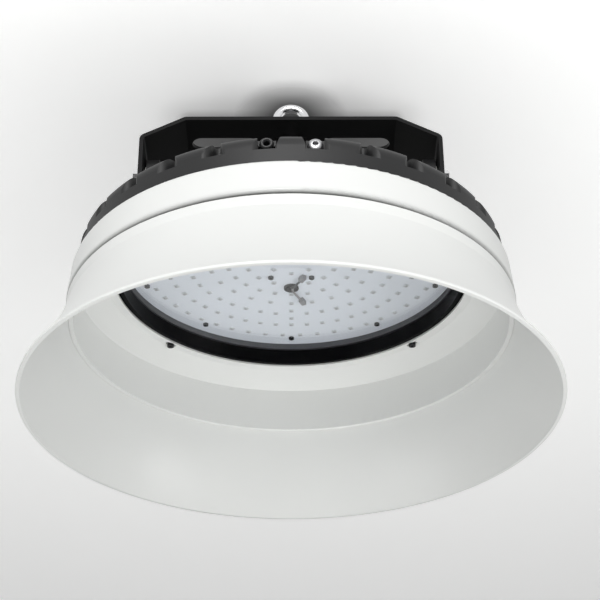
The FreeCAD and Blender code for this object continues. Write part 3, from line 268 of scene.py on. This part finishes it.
def finish(
    name, group, base, rough, colour_spread, rough_spread, bump, extra=None, group_values=None
):
    """A material whose colour, roughness and bump come from one effect group.

    base is the mean linear colour; Shade moves it by colour_spread and the roughness by
    rough_spread; bump is the Height's depth in metres.
    """
    material = bpy.data.materials.new(name)
    material.use_nodes = True
    tree = material.node_tree
    shader = tree.nodes["Principled BSDF"]
    place = tree.nodes.new("ShaderNodeTexCoord")
    effect = tree.nodes.new("ShaderNodeGroup")
    effect.node_tree = group
    tree.links.new(place.outputs["Object"], effect.inputs["Vector"])
    for label, value in (group_values or {}).items():
        effect.inputs[label].default_value = value
    ramp = tree.nodes.new("ShaderNodeValToRGB")
    ramp.color_ramp.elements[0].position = 0.3
    ramp.color_ramp.elements[1].position = 0.7
    for element, side in zip(ramp.color_ramp.elements, (1 - colour_spread, 1 + colour_spread)):
        element.color = tuple(min(channel * side, 1.0) for channel in base) + (1.0,)
    tree.links.new(effect.outputs["Shade"], ramp.inputs["Fac"])
    tree.links.new(ramp.outputs["Color"], shader.inputs["Base Color"])
    spread = tree.nodes.new("ShaderNodeMapRange")
    spread.inputs["To Min"].default_value = rough - rough_spread
    spread.inputs["To Max"].default_value = rough + rough_spread
    tree.links.new(effect.outputs["Shade"], spread.inputs["Value"])
    tree.links.new(spread.outputs["Result"], shader.inputs["Roughness"])
    relief = tree.nodes.new("ShaderNodeBump")
    relief.inputs["Strength"].default_value = 1.0
    relief.inputs["Distance"].default_value = bump
    tree.links.new(effect.outputs["Height"], relief.inputs["Height"])
    tree.links.new(relief.outputs["Normal"], shader.inputs["Normal"])
    for label, value in (extra or {}).items():
        shader.inputs[label].default_value = value
    return material


coat = make_coat_group()
cast = make_cast_group()
drawn = make_turned_group()

white_paint, band_paint = [
    finish(
        name, coat, (0.80, 0.81, 0.795), 0.38, 0.012, 0.05, 0.000012,
        {"Specular IOR Level": 0.25, "Coat Weight": 0.1, "Coat Roughness": 0.18},
    )
    for name in ("white_paint", "band_paint")
]
# painted shade: the groove's shadow over the collar is painted into the band's colour
masked(band_paint, make_groove_group())
black_powder = finish(
    "black_powder", coat, (0.0035, 0.0035, 0.0038), 0.5, 0.15, 0.06, 0.00004,
    {"Specular IOR Level": 0.12}, {"Peel scale": 1600.0},
)
black_casting = finish(
    "black_casting", cast, (0.0092, 0.0092, 0.0096), 0.5, 0.2, 0.08, 0.00006,
    {"Specular IOR Level": 0.35},
)
black_satin = finish(
    "black_satin", coat, (0.0012, 0.0012, 0.0016), 0.4, 0.1, 0.05, 0.00002,
    {"Specular IOR Level": 0.06},
)
bright_steel = finish(
    "bright_steel", drawn, (0.72, 0.72, 0.73), 0.16, 0.05, 0.05, 0.000006, {"Metallic": 1.0}
)
zinc_steel = finish(
    "zinc_steel", drawn, (0.62, 0.63, 0.65), 0.3, 0.08, 0.08, 0.000008, {"Metallic": 1.0}
)
nickel = finish("nickel", drawn, (0.40, 0.40, 0.41), 0.42, 0.05, 0.06, 0.000006, {"Metallic": 1.0})
black_oxide = finish(
    "black_oxide", drawn, (0.02, 0.02, 0.022), 0.35, 0.2, 0.08, 0.000008, {"Metallic": 0.6}
)
rubber = finish("rubber", cast, (0.018, 0.018, 0.02), 0.72, 0.15, 0.06, 0.00003)
grommet_rubber = finish(
    "grommet_rubber", cast, (0.004, 0.002, 0.005), 0.6, 0.15, 0.06, 0.00003,
    {"Specular IOR Level": 0.05},
)
gasket_silicone = finish("gasket_silicone", cast, (0.10, 0.10, 0.105), 0.6, 0.1, 0.05, 0.00002)
silicone = finish("silicone", cast, (0.30, 0.31, 0.34), 0.6, 0.06, 0.05, 0.00002)
gland_nylon = finish("gland_nylon", cast, (0.004, 0.004, 0.0045), 0.5, 0.15, 0.05, 0.00002)
washer_nylon = finish("washer_nylon", cast, (0.6, 0.6, 0.57), 0.5, 0.04, 0.05, 0.00002)
solder_mask = finish(
    "solder_mask", coat, (0.77, 0.805, 0.875), 0.5, 0.012, 0.04, 0.000008,
    group_values={"Peel scale": 1200.0, "Cloud scale": 14.0},
)
driver_shell = finish(
    "driver_shell", drawn, (0.5, 0.5, 0.52), 0.4, 0.06, 0.06, 0.00001, {"Metallic": 1.0}
)
terminal_plastic = finish(
    "terminal_plastic", coat, (0.22, 0.22, 0.23), 0.5, 0.03, 0.05, 0.000008
)
lead_grey = finish("lead_grey", coat, (0.20, 0.19, 0.20), 0.5, 0.05, 0.05, 0.000008)
lead_dark = finish("lead_dark", coat, (0.04, 0.045, 0.055), 0.5, 0.08, 0.05, 0.000008)
led_ceramic = finish("led_ceramic", coat, (0.56, 0.58, 0.61), 0.5, 0.03, 0.05, 0.000005)
led_resin = finish(
    "led_resin", coat, (0.46, 0.475, 0.50), 0.25, 0.04, 0.04, 0.000004,
    {"Coat Weight": 0.6, "Coat Roughness": 0.05},
)
# toughened glass with a trace of green and wiped marks in its roughness
clear_glass = finish(
    "clear_glass", coat, (0.975, 0.985, 0.98), 0.012, 0.002, 0.008, 0.0000005,
    {"IOR": 1.5, "Transmission Weight": 1.0, "Specular IOR Level": 0.2},
    {"Peel scale": 60.0, "Cloud scale": 9.0},
)

FINISHES = {
    "lower_reflector": white_paint,
    "upper_reflector": band_paint,
    "reflector_screws": black_oxide,
    "bezel_ring": black_satin,
    "bezel_gasket": rubber,
    "bezel_screws": black_oxide,
    "lens": clear_glass,
    "lens_gasket": gasket_silicone,
    "led_board": solder_mask,
    "led_packages": led_ceramic,
    "thermal_pad": silicone,
    "board_screws": black_oxide,
    "wire_grommet": grommet_rubber,
    "board_terminals": terminal_plastic,
    "led_lead_1": lead_grey,
    "led_lead_2": lead_dark,
    "heat_sink": black_casting,
    "led_driver": driver_shell,
    "driver_screws": zinc_steel,
    "cover_gasket": rubber,
    "driver_cover": black_powder,
    "cover_screws": bright_steel,
    "gland_body": gland_nylon,
    "gland_seal": rubber,
    "gland_nut": gland_nylon,
    "vent_plug": nickel,
    "yoke": black_powder,
    "friction_washers": washer_nylon,
    "pivot_washers": zinc_steel,
    "spring_washers": zinc_steel,
    "pivot_bolts": bright_steel,
    "eye_bolt": bright_steel,
    "eye_nut": bright_steel,
    "eye_washer": bright_steel,
}
nodes["lens"].visible_shadow = False
for node, material in FINISHES.items():
    nodes[node].data.materials.clear()
    nodes[node].data.materials.append(material)


# ------------------------------------------------------------------ lenses of the LEDs

# each ring: radius over the board's, packages, first angle and sweep in degrees
LED_RINGS = (
    (0.147, 8, 0, 360),
    (0.275, 15, 112.5, 337.5),
    (0.385, 24, 0, 360),
    (0.492, 24, 0, 360),
    (0.618, 39, 99, 351),
    (0.752, 48, 0, 360),
    (0.881, 50, 0, 360),
)
PAIR_SHARE = 0.618  # the ring whose place on +Y holds two packages, in line
PAIR_OFFSETS = (-0.0058, 0.0087)  # from that ring, inwards and outwards
DOME_RADIUS, DOME_HEIGHT = 0.0017, 0.0008
DOME_TURNS = 12


def led_places():
    """Centres and angles of the LED packages, ring by ring, under the board."""
    low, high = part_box("led_board")
    edge = (high[0] - low[0]) / 2
    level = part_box("led_packages")[0][2]
    places, turns = [], []
    for share, count, first, sweep in LED_RINGS:
        angles = np.radians(first + sweep * np.arange(count) / count)
        radius = edge * share
        heights = np.full(count, level)
        places.append(np.stack([radius * np.cos(angles), radius * np.sin(angles), heights], -1))
        turns.append(angles)
    row = edge * PAIR_SHARE + np.array(PAIR_OFFSETS)
    places.append(np.stack([row * 0, row, row * 0 + level], -1))
    turns.append(np.zeros(len(row)))
    return np.concatenate(places), np.concatenate(turns)


def add_led_lenses():
    """Resin domes on the LED packages: r = R sin t, z = -H cos t, t from near 0 to 90 degrees."""
    steps = np.linspace(0.02, np.pi / 2, 4)
    profile = np.stack([DOME_RADIUS * np.sin(steps), -DOME_HEIGHT * np.cos(steps)], -1)
    points, faces = lathe(profile, DOME_TURNS)
    places, turns = led_places()
    points, faces = copies(points, faces[:, ::-1], places, turns)
    piece = add_mesh("led_lenses", points, faces, led_resin)
    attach(piece, "lamp")


add_led_lenses()


# ------------------------------------------------------------------ studio

FLOOR_HALF, FLOOR_LEVEL = 6.0, -1.0
CEILING_HALF, CEILING_LEVEL = 9.0, 0.362
CEILING_GLOW = 0.42  # what the camera sees over the light that falls on the ceiling
CAMERA_PLACE = (0.0, -1.3012, -0.6736)
CAMERA_PITCH, CAMERA_YAW, CAMERA_ROLL = 0.546192, 0.006342, -0.005203
CAMERA_LENS, CAMERA_SENSOR = 96.0, 36.0  # millimetres


def add_object(name, data, axes, place):
    """An object in the scene whose local x, y and z are the three axes, at place."""
    thing = bpy.data.objects.new(name, data)
    rows = [[axes[0][i], axes[1][i], axes[2][i], place[i]] for i in range(3)]
    thing.matrix_world = Matrix(rows + [[0, 0, 0, 1]])
    bpy.context.scene.collection.objects.link(thing)
    return thing


def add_area(name, place, aim, size, power):
    """A square soft box at place, facing aim, out of the camera's sight."""
    data = bpy.data.lights.new(name, "AREA")
    data.shape = "SQUARE"
    data.size = size
    data.energy = power
    away = (np.array(place) - np.array(aim)).astype(float)
    away /= np.linalg.norm(away)
    side = np.cross((0.0, 0.0, 1.0), away)
    side /= np.linalg.norm(side)
    lamp = add_object(name, data, (side, np.cross(away, side), away), place)
    lamp.visible_camera = False


def make_world(level, seen):
    """An even pale surrounding: level lights the lamp, seen is what camera and shine see."""
    world = bpy.data.worlds.new("studio")
    world.use_nodes = True
    tree = world.node_tree
    tree.nodes.clear()
    path = tree.nodes.new("ShaderNodeLightPath")
    even = tree.nodes.new("ShaderNodeBackground")
    even.inputs["Color"].default_value = (1.0, 1.0, 1.0, 1.0)
    even.inputs["Strength"].default_value = level
    plain = tree.nodes.new("ShaderNodeBackground")
    plain.inputs["Color"].default_value = (0.985, 0.99, 0.985, 1.0)
    plain.inputs["Strength"].default_value = seen
    mix = tree.nodes.new("ShaderNodeMixShader")
    both = maths(tree, "MAXIMUM", path.outputs["Is Camera Ray"], path.outputs["Is Transmission Ray"])
    seen_by = maths(tree, "MAXIMUM", both, path.outputs["Is Glossy Ray"])
    tree.links.new(seen_by, mix.inputs["Fac"])
    tree.links.new(even.outputs[0], mix.inputs[1])
    tree.links.new(plain.outputs[0], mix.inputs[2])
    output = tree.nodes.new("ShaderNodeOutputWorld")
    tree.links.new(mix.outputs[0], output.inputs["Surface"])
    bpy.context.scene.world = world


def square(half, level):
    """Corners of a flat square round Z, z constant, in order seen from above."""
    return np.array(
        [[-half, -half, level], [half, -half, level], [half, half, level], [-half, half, level]]
    )


def add_floor():
    """A pale floor well below the hanging lamp."""
    paint = finish("floor_paint", coat, (0.80, 0.80, 0.79), 0.8, 0.01, 0.05, 0.00002)
    points = square(FLOOR_HALF, FLOOR_LEVEL)
    floor = add_mesh("studio_floor", points, np.array([[0, 1, 2, 3]]), paint, False)


def add_ceiling():
    """A pale ceiling just over the eye bolt, facing down and clear from above.

    It takes the lamp's shadow, deepened by a painted shadow round the yoke and the eye in its colour
    and glow, but sends no light back to the lamp.
    """
    paint = finish("ceiling_paint", coat, (0.93, 0.935, 0.925), 0.9, 0.006, 0.05, 0.00001)
    tree = paint.node_tree
    output = tree.nodes["Material Output"]
    shader = tree.nodes["Principled BSDF"]
    glow = tree.nodes.new("ShaderNodeMixShader")
    path = tree.nodes.new("ShaderNodeLightPath")
    shine = tree.nodes.new("ShaderNodeEmission")
    # painted shadow: the mask darkens the ceiling's colour and its glow round the yoke and the eye
    shadow = masked(paint, make_shadow_group())
    tree.links.new(maths(tree, "MULTIPLY", shadow, CEILING_GLOW), shine.inputs["Strength"])
    both = tree.nodes.new("ShaderNodeAddShader")
    tree.links.new(shader.outputs[0], both.inputs[0])
    tree.links.new(shine.outputs[0], both.inputs[1])
    tree.links.new(path.outputs["Is Camera Ray"], glow.inputs["Fac"])
    tree.links.new(shader.outputs[0], glow.inputs[1])
    tree.links.new(both.outputs[0], glow.inputs[2])
    side = tree.nodes.new("ShaderNodeNewGeometry")
    clear = tree.nodes.new("ShaderNodeBsdfTransparent")
    open_back = tree.nodes.new("ShaderNodeMixShader")
    tree.links.new(side.outputs["Backfacing"], open_back.inputs["Fac"])
    tree.links.new(glow.outputs[0], open_back.inputs[1])
    tree.links.new(clear.outputs[0], open_back.inputs[2])
    tree.links.new(open_back.outputs[0], output.inputs["Surface"])
    points = square(CEILING_HALF, CEILING_LEVEL)
    ceiling = add_mesh("studio_ceiling", points, np.array([[0, 3, 2, 1]]), paint, False)
    ceiling.visible_diffuse = False
    ceiling.visible_glossy = False
    ceiling.visible_transmission = False
    ceiling.visible_shadow = False


def add_camera():
    """The camera below and in front of the lamp, looking up at it."""
    level = math.cos(CAMERA_PITCH)
    forward = np.array(
        [math.sin(CAMERA_YAW) * level, math.cos(CAMERA_YAW) * level, math.sin(CAMERA_PITCH)]
    )
    right = np.cross(forward, (0.0, 0.0, 1.0))
    right /= np.linalg.norm(right)
    up = np.cross(right, forward)
    cos, sin = math.cos(CAMERA_ROLL), math.sin(CAMERA_ROLL)
    right, up = cos * right + sin * up, cos * up - sin * right
    data = bpy.data.cameras.new("camera")
    data.sensor_width = CAMERA_SENSOR
    data.lens = CAMERA_LENS
    bpy.context.scene.camera = add_object("camera", data, (right, up, -forward), CAMERA_PLACE)


make_world(0.05, 0.97)
add_area("front_box", (-0.15, -2.2, 0.75), (0.0, 0.0, 0.15), 1.0, 46.0)
add_area("low_box", (0.0, -0.1, -0.98), (0.0, 0.0, 0.15), 2.4, 13.0)
add_area("left_box", (-1.0, -0.4, -0.55), (0.0, 0.1, 0.02), 0.5, 2.8)
add_area("right_box", (1.0, -0.4, -0.55), (0.0, 0.1, 0.02), 0.5, 4.8)
add_floor()
add_ceiling()
add_camera()
bpy.context.scene.view_settings.view_transform = "Standard"
